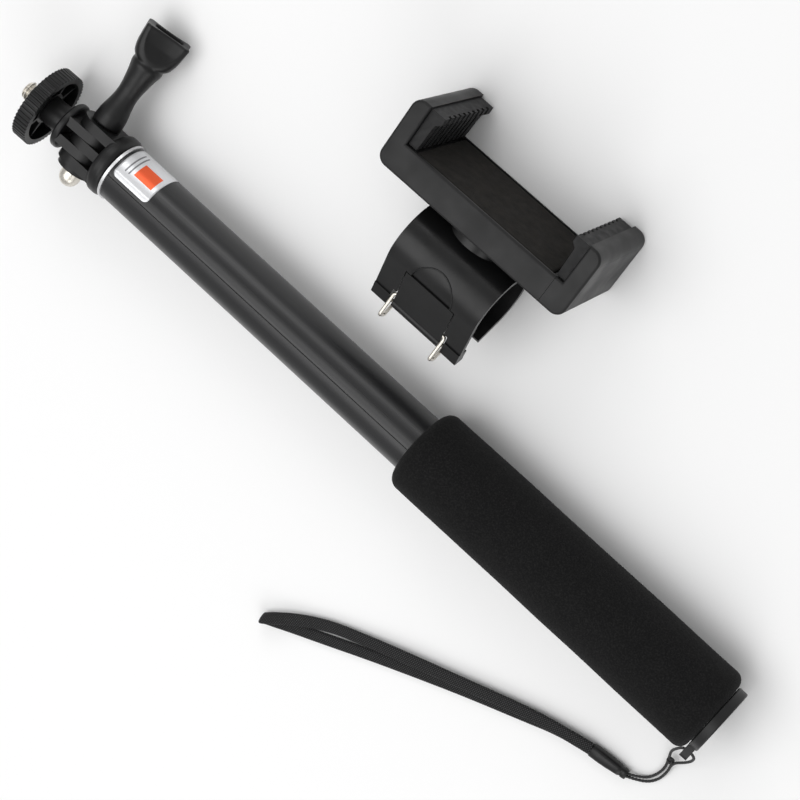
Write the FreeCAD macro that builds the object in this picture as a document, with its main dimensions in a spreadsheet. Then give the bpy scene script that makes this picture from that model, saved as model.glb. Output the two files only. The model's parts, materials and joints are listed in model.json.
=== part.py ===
"""Telescopic selfie stick with a tripod-thread head, a wrist strap and a loose phone holder.

Millimetres. The stick lies along X on its foam grip, with the head towards +X, and the knob's
wing touches the floor, so the whole stick is rolled a little about its own axis. The phone
holder lies beside it on one long side. The floor is Z = 0.
"""
import FreeCAD
import Part
import math
import os
from FreeCAD import Matrix, Placement, Rotation, Vector

doc = FreeCAD.newDocument("SelfieStick")
sheet = doc.addObject("Spreadsheet::Sheet", "Dims")
D = {}


def cells(**sizes):
    """Put each driving dimension into the sheet, with its name as the cell's alias."""
    for name, value in sizes.items():
        line = len(D) + 1
        sheet.set(f"A{line}", name)
        sheet.set(f"B{line}", str(value))
        sheet.setAlias(f"B{line}", name)
        D[name] = float(value)


# where the stick and the holder lie
cells(origin_x=103.41, origin_y=37.5, roll_deg=9.2, holder_x=-72.4, holder_y=-68.1)
# four nested aluminium tubes; each later one is a step smaller
cells(tube_radius=9.5, tube_step=1.5, tube_wall=0.9, tube_front=-2.3, nest_front=-1.6)
cells(rear_1=-242.4, rear_2=-225, rear_3=-218, rear_4=-211)
cells(groove_width=0.9, groove_depth=0.35, guide_length=14, slide_gap=0.1)
cells(ring_radius=10.0, ring_length=0.9, ring_bore=8.15)
cells(grip_radius=14.0, grip_bore=9.6, grip_front=-127.3, grip_rear=-242.2, grip_round=3.4)
cells(cap_radius=10.9, cap_length=3.2, cap_spigot=11, cap_round=0.5)
cells(lug_reach=15.3, lug_half=2.4, lug_thick=2.5, eye_radius=1.15, eye_reach=13.0)
cells(label_length=14.5, label_start=-3.2, label_thick=0.1, label_turn=125, label_from=95)
# the three-pronged head, its clamp bolt and its acorn nut
cells(flange_radius=10.5, flange_rear=-1.3, flange_front=4.2, flange_round=2.1, spigot_length=18.7)
cells(hinge_x=11.4, prong_radius=7.0, prong_thick=3.15, prong_gap=3.15, bolt_bore=2.6)
cells(boss_radius=6.0, boss_height=1.8, nut_flats=8.0, nut_seat=6.45, dome_radius=3.4, nut_tip=15.6)
cells(bolt_radius=2.45, bolt_start=-20, bolt_end=11.8)
# the knob, its wing and the slot in its end
cells(knob_start=-8.1, knob_end=-42.6, knob_turn_deg=27, wing_width=15.6, wing_thick=8.2)
cells(slot_length=9.8, slot_width=3.8, slot_depth=3)
# the tilting adapter, its 1/4 inch stud and its knurled locking wheel
cells(tilt_deg=4.5, ear_radius=6.8, ear_thick=2.95, ear_length=8.0)
cells(seat_radius=8.05, seat_front=10.4, collar_radius=4.6, collar_front=17.4)
cells(stud_radius=3.175, stud_start=9.2, stud_free=21.2, stud_tip=27.3, stud_chamfer=0.8, shank_radius=3.0)
cells(wheel_radius=13.0, wheel_rear=16.0, wheel_front=21.1, wheel_face=1.7, wheel_rim=2.1)
cells(wheel_hub=5.6, wheel_bore=3.06, flute_radius=0.45, web_thick=0.9)
# the phone holder: x along the cradle, y across it (down to the floor), z out of its bed
cells(cradle_length=68.7, cradle_width=35.2, cradle_height=22.3, base_height=9.1)
cells(jaw_thick=5.35, jaw_split=61.0, jaw_foot_gap=0.1, base_wall=2.0, bed_lip=1.2)
cells(end_wall=2.0, tray_top=7.1, deck_thick=1.0, bed_thick=0.9, corner_round=3.4, edge_round=0.8, bed_start=3.3, bed_short=5.0)
cells(pad_low=2.8, pad_face=3.2, pad_high=4.8, pad_top=21.6, pad_nose=19.4, pad_lip=1.2, rib_pitch=3.1, rib_width=1.4, rib_depth=0.9)
cells(rod_radius=1.0, rod_height=4.6, rod_side=4.6, rod_start=8.0, rod_end=66.0)
cells(spring_radius=1.45, spring_wire=0.5, spring_pitch=3.3, clip_radius=1.9, clip_thick=1.0)
cells(runner_start=18, runner_low=2.2, runner_thick=1.4, runner_width=4.0, runner_side=7.4)
cells(panel_thick=1.1, panel_margin=2.2, panel_height=16.5)
# the C-shaped tube clamp under the cradle
cells(clamp_x=34.2, clamp_y=15.5, clamp_z=-15.7, clamp_radius=12.07, clamp_wall=1.5, clamp_length=33.0)
cells(front_lip_deg=207.2, front_lip=17.3, far_lip_deg=-40, far_lip=8.3)
cells(swivel_radius=9.0, swivel_gap=0.1, screw_radius=1.5, screw_head=3.0, screw_top=6.0)
cells(lever_half=9.0, lever_start=0.5, lever_end=17.0, lever_gap=0.3, bail_slot_half=10.6, bail_slot_start=10.4)
cells(pin_place=15.6, pin_radius=0.6, barrel_radius=1.3, bail_place=12.0, bail_radius=0.55, bail_half=9.8)
cells(foot_start=12.8, foot_in=3.0, foot_out=0.4, scoop_radius=7.5, scoop_depth=0.5)
# the wrist strap
cells(strap_width=4.0, strap_thick=1.6, cord_radius=0.45, joiner_length=12.9, knot_radius=1.25)
doc.recompute()

X, Y, Z = Vector(1, 0, 0), Vector(0, 1, 0), Vector(0, 0, 1)
NODES = []


# ---------------------------------------------------------------- frames of the assemblies
def turned(axis, degrees, at=Vector()):
    return Placement(at, Rotation(axis, degrees))


stick = turned(X, D["roll_deg"], Vector(D["origin_x"], D["origin_y"], D["grip_radius"]))
hinge = stick.multiply(Placement(Vector(D["hinge_x"], 0, 0), Rotation()))
adapter = hinge.multiply(turned(Y, -D["tilt_deg"]))
knob = hinge.multiply(turned(Y, -D["knob_turn_deg"]))
holder = Placement(Matrix(
    -1, 0, 0, D["holder_x"] + D["origin_x"],
    0, 0, -1, D["holder_y"] + D["origin_y"],
    0, -1, 0, D["cradle_width"],
    0, 0, 0, 1))
floor = Placement(Vector(D["origin_x"], D["origin_y"], 0), Rotation())


# ---------------------------------------------------------------- small helpers
def bind(thing, **sizes):
    """Bind properties to expressions over the sheet's aliases."""
    for prop, text in sizes.items():
        thing.setExpression(prop, text)
    return thing


def aliases(text):
    """Write Dims. before every alias in a short expression."""
    words = text.replace("*", " * ").replace("+", " + ").replace("-", " - ").replace("/", " / ")
    return " ".join("Dims." + w if w in D else w for w in words.split())


def cylinder(frame, at, axis, radius, height, name="Round"):
    o = doc.addObject("Part::Cylinder", name)
    bind(o, Radius=aliases(radius), Height=aliases(height))
    o.Placement = frame.multiply(Placement(Vector(*at), Rotation(Z, axis)))
    return o


def box(frame, at, length, width, height, name="Block"):
    o = doc.addObject("Part::Box", name)
    bind(o, Length=aliases(length), Width=aliases(width), Height=aliases(height))
    o.Placement = frame.multiply(Placement(Vector(*at), Rotation()))
    return o


def cut(base, *tools):
    for tool in tools:
        o = doc.addObject("Part::Cut", "Cut")
        o.Base, o.Tool = base, tool
        base = o
    return base


def fuse(*things):
    o = doc.addObject("Part::MultiFuse", "Joined")
    o.Shapes = list(things)
    return o


def together(things):
    o = doc.addObject("Part::Compound", "Set")
    o.Links = list(things)
    return o


def feature(shape, frame, name="Made"):
    o = doc.addObject("Part::Feature", name)
    o.Shape = shape
    o.Placement = frame
    return o


def rounded(base, radius, chosen):
    """Fillet the edges of base that chosen(edge) picks."""
    doc.recompute()
    picked = [(i + 1, radius, radius) for i, e in enumerate(base.Shape.Edges) if chosen(e)]
    o = doc.addObject("Part::Fillet", "Rounded")
    o.Base = base
    o.Edges = picked
    return o


def part(name, thing):
    thing.Label = name
    NODES.append((name, thing))
    return thing


def prism(points, along, frame):
    """A straight prism over a closed outline."""
    face = Part.Face(Part.makePolygon([Vector(*p) for p in points] + [Vector(*points[0])]))
    return feature(face.extrude(Vector(*along)), frame)


def in_frame(edge, frame):
    """An edge's middle point, in the frame's own coordinates."""
    middle = edge.valueAt((edge.FirstParameter + edge.LastParameter) / 2)
    return frame.inverse().multVec(middle)


def route_wire(points):
    """Straight runs joined by tangent arcs, each as large as its two runs allow."""
    route = [Vector(*p) for p in points]
    edges, start, radii = [], route[0], []
    for before, corner, after in zip(route, route[1:], route[2:]):
        back, ahead = (before - corner).normalize(), (after - corner).normalize()
        turn = math.pi - back.getAngle(ahead)
        reach = 0.45 * min((before - corner).Length, (after - corner).Length)
        radius = reach / math.tan(turn / 2)
        radii.append(round(radius, 1))
        one, two = corner + back * reach, corner + ahead * reach
        inward = (back + ahead).normalize()
        middle = corner + inward * (radius / math.cos(turn / 2) - radius)
        edges.append(Part.LineSegment(start, one).toShape())
        edges.append(Part.Arc(one, middle, two).toShape())
        start = two
    edges.append(Part.LineSegment(start, route[-1]).toShape())
    return Part.Wire(edges), radii


def tube_on(points, outline, name):
    """Sweep an outline, drawn around the route's first point, along the route."""
    wire, radii = route_wire(points)
    first = (Vector(*points[1]) - Vector(*points[0])).normalize()
    profile = outline(first)
    profile.translate(Vector(*points[0]))
    shell = Part.BRepOffsetAPI.MakePipeShell(wire)
    shell.setFrenetMode(False)
    shell.setTransitionMode(0)
    shell.add(profile)
    shell.build()
    shell.makeSolid()
    solid = shell.shape()
    area = Part.Face(profile).Area
    print(f"{name}: length {wire.Length:.1f}, radii {radii}, volume {solid.Volume / (area * wire.Length):.4f}")
    return solid


def round_outline(radius):
    return lambda first: Part.Wire(Part.makeCircle(radius, Vector(), first))


# ---------------------------------------------------------------- the telescopic tubes
def stage_radius(stage):
    return D["tube_radius"] - (stage - 1) * D["tube_step"]


def stage_tube(stage):
    """One tube with the long groove that keeps it from turning in the next."""
    front = D["tube_front"] if stage == 1 else D["nest_front"]
    front_name = "tube_front" if stage == 1 else "nest_front"
    outer = f"tube_radius-{stage - 1}*tube_step"
    length = f"{front_name}-rear_{stage}"
    at = (D[f"rear_{stage}"], 0, 0)
    wall = cut(
        cylinder(stick, at, X, outer, length),
        cylinder(stick, at, X, f"{outer}-tube_wall", length))
    groove = box(stick, (at[0], -D["groove_width"] / 2, stage_radius(stage) - D["groove_depth"]),
                 length, "groove_width", "groove_depth+groove_depth")
    part("outer_tube" if stage == 1 else f"tube_{stage}", cut(wall, groove))
    return front


def mouth_guide(stage, front):
    """The plastic bush in a tube's mouth; its key runs in the next tube's groove."""
    bore = f"tube_radius-{stage}*tube_step+slide_gap"
    bush = cut(
        cylinder(stick, (front - D["guide_length"], 0, 0), X,
                 f"tube_radius-{stage - 1}*tube_step-tube_wall", "guide_length"),
        cylinder(stick, (front - D["guide_length"], 0, 0), X, bore, "guide_length"))
    low = stage_radius(stage + 1) - 0.2
    key = box(stick, (front - D["guide_length"], -0.3, low), "guide_length", "0.6", "0.5")
    part(f"bush_{stage}", fuse(bush, key))


def rear_sleeve(stage):
    """The friction sleeve on a tube's rear end, which rubs in the tube around it."""
    at = (D[f"rear_{stage}"], 0, 0)
    part(f"sleeve_{stage}", cut(
        cylinder(stick, at, X, f"tube_radius-{stage - 2}*tube_step-tube_wall-slide_gap", "guide_length"),
        cylinder(stick, at, X, f"tube_radius-{stage - 1}*tube_step", "guide_length")))


for stage in (1, 2, 3, 4):
    mouth = stage_tube(stage)
    if stage < 4:
        mouth_guide(stage, mouth)
    if stage > 1:
        rear_sleeve(stage)

part("mouth_ring", cut(
    cylinder(stick, (D["tube_front"], 0, 0), X, "ring_radius", "ring_length"),
    cylinder(stick, (D["tube_front"], 0, 0), X, "ring_bore", "ring_length")))


# ---------------------------------------------------------------- grip, end cap and label
grip_block = cylinder(stick, (D["grip_rear"], 0, 0), X, "grip_radius", "grip_front-grip_rear")
part("foam_grip", cut(
    rounded(grip_block, D["grip_round"], lambda e: len(e.Vertexes) == 1),
    cylinder(stick, (D["grip_rear"], 0, 0), X, "grip_bore", "grip_front-grip_rear")))

cap_face = D["rear_1"] - D["cap_length"]
cap_disc = cylinder(stick, (cap_face, 0, 0), X, "cap_radius", "cap_length")
cap_plug = cylinder(stick, (D["rear_1"], 0, 0), X, "tube_radius-tube_wall", "cap_spigot")
lug = box(stick, (D["rear_1"] - D["lug_thick"] - 0.1, 6, -D["lug_half"]),
          "lug_thick", "lug_reach-6", "2*lug_half")
part("end_cap", cut(
    fuse(rounded(cap_disc, D["cap_round"], lambda e: len(e.Vertexes) == 1), cap_plug,
         rounded(lug, 1.2, lambda e: abs(in_frame(e, stick).y - D["lug_reach"]) < 0.01
                 and abs(abs(in_frame(e, stick).z) - D["lug_half"]) < 0.01)),
    cylinder(stick, (cap_face - 1, D["eye_reach"], 0), X, "eye_radius", "cap_length+2"),
    cylinder(stick, (D["rear_1"] + 2, 0, 0), X, "tube_radius-tube_wall-1.5", "cap_spigot")))

label_frame = stick.multiply(turned(X, D["label_from"], Vector(D["label_start"] - D["label_length"], 0, 0)))
label_out = cylinder(label_frame, (0, 0, 0), X, "tube_radius+0.02+label_thick", "label_length")
# the sector is measured from the cylinder's own first axis, which lies along -Z here
label_out.Placement = label_frame.multiply(Placement(Vector(), Rotation(Y, Z, X, "ZXY")))
bind(label_out, Angle="Dims.label_turn")
part("label", cut(label_out, cylinder(label_frame, (-1, 0, 0), X, "tube_radius+0.02", "label_length+2")))


# ---------------------------------------------------------------- head
def prong(frame, middle, thick, radius, thick_name, radius_name, length, length_name):
    """A flat prong with a round end about the hinge; length below 0 points to the tube."""
    eye = cylinder(frame, (0, middle - thick / 2, 0), Y, radius_name, thick_name)
    bar = box(frame, (min(0, length), middle - thick / 2, -radius), length_name, thick_name, f"2*{radius_name}")
    return fuse(eye, bar)


def hexagon(flats, low, high, frame):
    corners = [(flats / math.sqrt(3) * math.cos(math.radians(60 * k)), low,
                flats / math.sqrt(3) * math.sin(math.radians(60 * k))) for k in range(6)]
    return prism(corners, (0, high - low, 0), frame)


pitch = D["prong_thick"] + D["prong_gap"]
stack_half = pitch + D["prong_thick"] / 2
root_length = D["hinge_x"] - D["flange_front"] + 3
prongs = [prong(hinge, k * pitch, D["prong_thick"], D["prong_radius"], "prong_thick", "prong_radius",
                -root_length, "hinge_x-flange_front+3") for k in (-1, 0, 1)]
flange = rounded(
    cylinder(stick, (D["flange_rear"], 0, 0), X, "flange_radius", "flange_front-flange_rear"),
    D["flange_round"], lambda e: len(e.Vertexes) == 1)
spigot = cylinder(stick, (D["flange_rear"] - D["spigot_length"], 0, 0), X,
                  "tube_radius-3*tube_step-tube_wall", "spigot_length+0.5")
nut_boss = cylinder(hinge, (0, stack_half, 0), Y, "boss_radius", "boss_height")
boss_face = stack_half + D["boss_height"]
part("head_base", cut(
    fuse(flange, spigot, nut_boss, *prongs),
    cylinder(hinge, (0, -stack_half - 1, 0), Y, "bolt_bore", "30"),
    hexagon(D["nut_flats"] + 0.1, D["nut_seat"] - 0.05, boss_face + 1, hinge)))

dome_start = D["nut_tip"] - D["dome_radius"]
dome = doc.addObject("Part::Sphere", "Dome")
bind(dome, Radius="Dims.dome_radius")
dome.Placement = hinge.multiply(Placement(Vector(0, dome_start, 0), Rotation()))
part("acorn_nut", cut(
    fuse(hexagon(D["nut_flats"], D["nut_seat"], boss_face, hinge),
         cylinder(hinge, (0, boss_face - 0.5, 0), Y, "dome_radius", str(dome_start - boss_face + 0.5)), dome),
    cylinder(hinge, (0, D["nut_seat"] - 1, 0), Y, "bolt_radius+0.05", str(13.0 - D["nut_seat"]))))

part("clamp_bolt", fuse(
    cylinder(knob, (0, D["bolt_start"], 0), Y, "bolt_radius", "bolt_end-bolt_start"),
    cylinder(knob, (0, D["bolt_start"], 0), Y, "bolt_radius+1", "2.5")))


# ---------------------------------------------------------------- thumb knob
def knob_section(along, half_width, half_thick, corner):
    """A rounded rectangle across the knob's axis."""
    w, t, r = half_width, half_thick, corner
    middles = [(w - r, t - r, 0), (r - w, t - r, 90), (r - w, r - t, 180), (w - r, r - t, 270)]
    edges = []
    for k, (cx, cz, start) in enumerate(middles):
        arc = [Vector(cx + r * math.cos(math.radians(start + a)), along,
                      cz + r * math.sin(math.radians(start + a))) for a in (0, 45, 90)]
        edges.append(Part.Arc(*arc).toShape())
        nx, nz, after = middles[(k + 1) % 4]
        onward = Vector(nx + r * math.cos(math.radians(after)), along, nz + r * math.sin(math.radians(after)))
        edges.append(Part.LineSegment(arc[2], onward).toShape())
    return Part.Wire(edges)


wing, flat = D["wing_width"] / 2, D["wing_thick"] / 2
stem = Part.makeLoft([
    knob_section(D["knob_start"], 4.95, 4.95, 4.85),
    knob_section(-12.1, 4.7, 4.7, 4.6),
    knob_section(-15.9, 3.95, 3.95, 3.85),
    knob_section(-20.0, 3.55, 3.55, 3.45),
    knob_section(-26.5, 4.4, 4.4, 4.3),
    knob_section(-29.3, 5.1, 5.0, 4.8),
    knob_section(-31.4, 5.3, 5.1, 4.8)], True)
fan = Part.makeLoft([
    knob_section(-31.2, 5.35, 4.6, 3.8),
    knob_section(-33.5, 6.3, 4.4, 2.9),
    knob_section(-36.5, 7.15, 4.2, 2.0),
    knob_section(-39.5, 7.55, flat, 1.5),
    knob_section(D["knob_end"], wing, flat, 1.2)], True)
slot = Part.makeBox(D["slot_length"], D["slot_depth"] + 1, D["slot_width"],
                    Vector(-D["slot_length"] / 2, D["knob_end"] - 1, -D["slot_width"] / 2))
part("thumb_knob", cut(
    feature(stem.fuse(fan).cut(slot).removeSplitter(), knob),
    cylinder(knob, (0, D["bolt_start"], 0), Y, "bolt_radius", "15"),
    cylinder(knob, (0, D["bolt_start"], 0), Y, "bolt_radius+1", "2.5")))


# ---------------------------------------------------------------- tilting adapter, stud and wheel
ear_middle = pitch / 2
ears = [prong(adapter, side * ear_middle, D["ear_thick"], D["ear_radius"], "ear_thick", "ear_radius",
              D["ear_length"] + 0.5, "ear_length+0.5") for side in (-1, 1)]
seat = rounded(
    cylinder(adapter, (D["ear_length"], 0, 0), X, "seat_radius", "seat_front-ear_length"),
    0.8, lambda e: len(e.Vertexes) == 1)
collar = cylinder(adapter, (D["seat_front"] - 0.5, 0, 0), X, "collar_radius", "collar_front-seat_front+0.5")
part("tripod_adapter", cut(
    fuse(seat, collar, *ears),
    cylinder(adapter, (0, -8, 0), Y, "bolt_bore", "16"),
    cylinder(adapter, (D["stud_start"], 0, 0), X, "shank_radius", "20")))

stud = fuse(
    cylinder(adapter, (D["stud_start"], 0, 0), X, "shank_radius", "stud_tip-stud_start-1"),
    cylinder(adapter, (D["stud_free"], 0, 0), X, "stud_radius", "stud_tip-stud_free"))
doc.recompute()
tip_edges = [(i + 1, D["stud_chamfer"], D["stud_chamfer"]) for i, e in enumerate(stud.Shape.Edges)
             if len(e.Vertexes) == 1 and in_frame(e, adapter).x > D["stud_tip"] - 0.1]
chamfered = doc.addObject("Part::Chamfer", "Chamfered")
chamfered.Base = stud
chamfered.Edges = tip_edges
part("camera_stud", chamfered)

wheel_blank = cylinder(adapter, (D["wheel_rear"], 0, 0), X, "wheel_radius", "wheel_front-wheel_rear")
hollow = cylinder(adapter, (D["wheel_rear"] - 1, 0, 0), X, "wheel_radius-wheel_rim",
                  "wheel_front-wheel_rear-wheel_face+1")
flutes = together(
    cylinder(adapter, (D["wheel_rear"] - 1, D["wheel_radius"] * math.cos(a), D["wheel_radius"] * math.sin(a)),
             X, "flute_radius", "wheel_front-wheel_rear+2")
    for a in (2 * math.pi * k / 54 for k in range(54)))
hub = cylinder(adapter, (D["collar_front"] + 0.2, 0, 0), X, "wheel_hub", "wheel_front-collar_front-0.2")
web_inner, web_outer = D["wheel_hub"] - 1, D["wheel_radius"] - D["wheel_rim"] + 0.5
webs = []
for k in range(8):
    spoke = adapter.multiply(turned(X, 45 * k))
    webs.append(box(spoke, (D["collar_front"] + 0.2, web_inner, -D["web_thick"] / 2),
                    "wheel_front-collar_front-0.2", str(web_outer - web_inner), "web_thick"))
part("lock_wheel", cut(
    fuse(cut(wheel_blank, hollow, flutes), hub, *webs),
    cylinder(adapter, (D["wheel_rear"] - 1, 0, 0), X, "wheel_bore", "10")))


# ---------------------------------------------------------------- phone holder: cradle
L, W, H = D["cradle_length"], D["cradle_width"], D["cradle_height"]


def along_y(edge):
    """True for a straight edge that runs across the cradle."""
    if len(edge.Vertexes) != 2:
        return False
    one, two = (holder.inverse().multVec(v.Point) for v in edge.Vertexes)
    return abs(one.x - two.x) < 0.01 and abs(one.z - two.z) < 0.01


def corner_at(edge, x, z):
    middle = in_frame(edge, holder)
    return along_y(edge) and abs(middle.x - x) < 0.05 and abs(middle.z - z) < 0.05


def on_side(edge, seam_x):
    """True for an edge round one of the two long side faces, apart from the seam between the jaws."""
    middle = in_frame(edge, holder)
    return min(abs(middle.y), abs(middle.y - W)) < 0.01 and abs(middle.x - seam_x) > 0.2


side_wall = D["base_wall"]
rod_rows = (D["rod_side"], W - D["rod_side"])
runner_rows = (D["runner_side"], W - D["runner_side"] - D["runner_width"])
cradle_block = fuse(
    box(holder, (0, 0, 0), "jaw_split", "cradle_width", "base_height"),
    box(holder, (0, 0, 0), "jaw_thick", "cradle_width", "cradle_height"))
cradle_corners = rounded(cradle_block, D["corner_round"],
                         lambda e: corner_at(e, 0, 0) or corner_at(e, 0, H))
cradle_round = rounded(cradle_corners, D["edge_round"], lambda e: on_side(e, D["jaw_split"]))
tray = box(holder, (D["jaw_thick"] + 0.5, side_wall, side_wall),
           "jaw_split-end_wall-jaw_thick-0.5", "cradle_width-2*base_wall", "base_height")
bed = box(holder, (D["jaw_thick"] + 0.1, D["bed_lip"], D["tray_top"]),
          "jaw_split-jaw_thick", "cradle_width-2*bed_lip", "3")
post = cylinder(holder, (D["clamp_x"], D["clamp_y"], D["base_wall"] - 0.5), Z, "screw_radius+1.7", "4.9")
screw_hole = cylinder(holder, (D["clamp_x"], D["clamp_y"], -1), Z, "screw_radius", "screw_top+1")
rod_holes = [cylinder(holder, (D["jaw_split"] - 4, y, D["rod_height"]), X, "rod_radius+slide_gap", "6")
             for y in rod_rows]
runner_slots = [box(holder, (D["jaw_split"] - 4, y - 0.1, D["runner_low"] - 0.1),
                    "6", "runner_width+0.2", "runner_thick+0.2") for y in runner_rows]
part("cradle_body", cut(fuse(cut(cradle_round, tray, bed), post), screw_hole, *rod_holes, *runner_slots))

part("deck_plate", box(holder, (D["jaw_thick"] + 0.2, D["bed_lip"] + 0.1, D["tray_top"]),
                       "jaw_split-jaw_thick-0.3", "cradle_width-2*bed_lip-0.2", "deck_thick"))
bed_at = (D["jaw_thick"] + D["bed_start"], D["bed_lip"] + 0.2, D["tray_top"] + D["deck_thick"] + 0.02)
part("floor_pad", box(holder, bed_at, "jaw_split-jaw_thick-bed_short", "cradle_width-2*bed_lip-0.4", "bed_thick"))


def jaw_pad(name, face, inward):
    """A ribbed rubber pad whose upper edge noses over the phone."""
    low, nose, top = D["base_height"] + 0.1, D["pad_nose"], D["pad_top"]
    margin = D["bed_lip"] + 0.3
    foot, face_out, lip_out = D["pad_low"], D["pad_face"], D["pad_high"]
    outline = [(0, low), (foot, low), (face_out, nose - D["pad_lip"]), (lip_out, nose), (lip_out, top), (0, top)]
    points = [(face + inward * x, margin, z) for x, z in outline]
    body = prism(points, (0, W - 2 * margin, 0), holder)
    deep = D["rib_depth"]
    groove = [(foot - deep, low - 1), (face_out - deep, nose - D["pad_lip"]), (lip_out - deep, nose),
              (lip_out - deep, top + 1), (lip_out + 3, top + 1), (lip_out + 3, low - 1)]
    count = int((W - 2 * margin - 4) / D["rib_pitch"])
    first = (W - (count - 1) * D["rib_pitch"]) / 2
    grooves = together(
        prism([(face + inward * x, first + k * D["rib_pitch"] - D["rib_width"] / 2, z) for x, z in groove],
              (0, D["rib_width"], 0), holder)
        for k in range(count))
    part(name, cut(body, grooves))


jaw_face = L - D["jaw_thick"]
jaw_pad("jaw_pad_fixed", D["jaw_thick"] + 0.02, 1)
jaw_pad("jaw_pad_moving", jaw_face - 0.02, -1)

foot_start = D["jaw_split"] + D["jaw_foot_gap"]
jaw_block = fuse(
    box(holder, (foot_start, 0, 0), "cradle_length-jaw_split-jaw_foot_gap", "cradle_width", "base_height"),
    box(holder, (jaw_face, 0, 0), "jaw_thick", "cradle_width", "cradle_height"))
jaw_corners = rounded(jaw_block, D["corner_round"],
                      lambda e: corner_at(e, L, 0) or corner_at(e, L, H))
jaw_round = rounded(jaw_corners, D["edge_round"], lambda e: on_side(e, foot_start))
runners = [box(holder, (D["runner_start"], y, D["runner_low"]),
               "jaw_split+jaw_foot_gap+1-runner_start", "runner_width", "runner_thick") for y in runner_rows]
rod_sockets = [cylinder(holder, (foot_start - 1, y, D["rod_height"]), X, "rod_radius",
                        "rod_end-jaw_split-jaw_foot_gap+1") for y in rod_rows]
panel_at = (L - D["panel_thick"], D["panel_margin"], D["corner_round"])
panel_recess = box(holder, panel_at, "panel_thick+1", "cradle_width-2*panel_margin", "panel_height-1")
part("moving_jaw", cut(fuse(jaw_round, *runners), panel_recess, *rod_sockets))
part("jaw_panel", box(holder, (panel_at[0], panel_at[1] + 0.1, panel_at[2] + 0.1),
                      "panel_thick", "cradle_width-2*panel_margin-0.2", "panel_height-1.2"))

for letter, y in zip("ab", rod_rows):
    part(f"guide_rod_{letter}", cylinder(
        holder, (D["rod_start"], y, D["rod_height"]), X, "rod_radius", "rod_end-rod_start", "Rod"))
    clip_at = (D["rod_start"] + 0.2, y, D["rod_height"])
    part(f"rod_clip_{letter}", cut(
        cylinder(holder, clip_at, X, "clip_radius", "clip_thick"),
        cylinder(holder, (clip_at[0] - 1, y, D["rod_height"]), X, "rod_radius", "clip_thick+2")))
    coil_start = clip_at[0] + D["clip_thick"] + 0.3
    coil_length = D["jaw_split"] - D["end_wall"] - coil_start - 0.3
    helix = Part.makeHelix(D["spring_pitch"], coil_length, D["spring_radius"])
    rise = Vector(0, 2 * math.pi * D["spring_radius"], D["spring_pitch"])
    wire_end = Part.Wire(Part.makeCircle(D["spring_wire"] / 2, Vector(D["spring_radius"], 0, 0), rise))
    coil = Part.Wire(helix).makePipeShell([wire_end], True, True)
    stand = holder.multiply(Placement(Vector(coil_start, y, D["rod_height"]), Rotation(Z, X)))
    part(f"spring_{letter}", feature(coil, stand))


# ---------------------------------------------------------------- tube clamp
clamp = holder.multiply(Placement(Vector(0, D["clamp_y"], D["clamp_z"]), Rotation()))
R, wall = D["clamp_radius"], D["clamp_wall"]
front, far = math.radians(D["front_lip_deg"]), math.radians(D["far_lip_deg"])
clamp_start = D["clamp_x"] - D["clamp_length"] / 2


def spot(radius, angle, slide=0.0, sense=1, x=clamp_start):
    """A point on the clamp's profile: round the bore, then slide along the tangent."""
    return Vector(x, radius * math.cos(angle) - sense * slide * math.sin(angle),
                  radius * math.sin(angle) + sense * slide * math.cos(angle))


top = math.radians(90)
outline = Part.Wire([
    Part.LineSegment(spot(R, far, D["far_lip"], -1), spot(R, far)).toShape(),
    Part.Arc(spot(R, far), spot(R, top), spot(R, front)).toShape(),
    Part.LineSegment(spot(R, front), spot(R, front, D["front_lip"])).toShape(),
    Part.LineSegment(spot(R, front, D["front_lip"]), spot(R - wall, front, D["front_lip"])).toShape(),
    Part.LineSegment(spot(R - wall, front, D["front_lip"]), spot(R - wall, front)).toShape(),
    Part.Arc(spot(R - wall, front), spot(R - wall, top), spot(R - wall, far)).toShape(),
    Part.LineSegment(spot(R - wall, far), spot(R - wall, far, D["far_lip"], -1)).toShape(),
    Part.LineSegment(spot(R - wall, far, D["far_lip"], -1), spot(R, far, D["far_lip"], -1)).toShape()])
shell = feature(Part.Face(outline).extrude(Vector(D["clamp_length"], 0, 0)), clamp)

# the lip's own frame: x along the bore, y down the lip, z out of the clamp
down = spot(0, front, 1, 1, 0)
out = Vector(0, math.cos(front), math.sin(front))
lip_base = spot(R, front, 0, 1, D["clamp_x"])
lip = clamp.multiply(Placement(lip_base, Rotation(X.negative(), down, out, "ZYX")))


def lip_box(half_from, half_to, start, end, low, high):
    """A block on the lip, from half_from to half_to across, start to end down the lip."""
    return feature(Part.makeBox(half_to - half_from, end - start, high - low, Vector(half_from, start, low)), lip)


half, gap = D["lever_half"], D["lever_gap"]
slot_half, clamp_half = D["bail_slot_half"], D["clamp_length"] / 2
window = lip_box(-half - gap, half + gap, D["lever_start"] - gap, D["front_lip"] + 1, -3, 3)
bail_room = lip_box(-slot_half, slot_half, D["bail_slot_start"], D["front_lip"] + 1, -3, 3)
feet = [lip_box(a, b, D["foot_start"], D["front_lip"], -D["foot_in"], D["foot_out"])
        for a, b in ((-clamp_half, -slot_half), (slot_half, clamp_half))]
pin_at = Vector(-clamp_half + 1.0, D["pin_place"], -wall / 2)
pin_length = D["clamp_length"] - 2.0
pin_hole = feature(Part.makeCylinder(D["pin_radius"] + 0.02, pin_length, pin_at, X), lip)
scoop_round = feature(Part.makeCylinder(D["scoop_radius"], 12, Vector(0, D["lever_start"], -8), Z), lip)
scoop_core = cylinder(holder, (clamp_start - 1, D["clamp_y"], D["clamp_z"]), X, "clamp_radius-scoop_depth",
                      "clamp_length+2")
scoop_flat = lip_box(-clamp_half, clamp_half, 0, D["front_lip"], -4, -D["scoop_depth"])
scoop = cut(scoop_round, scoop_core, scoop_flat)
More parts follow.
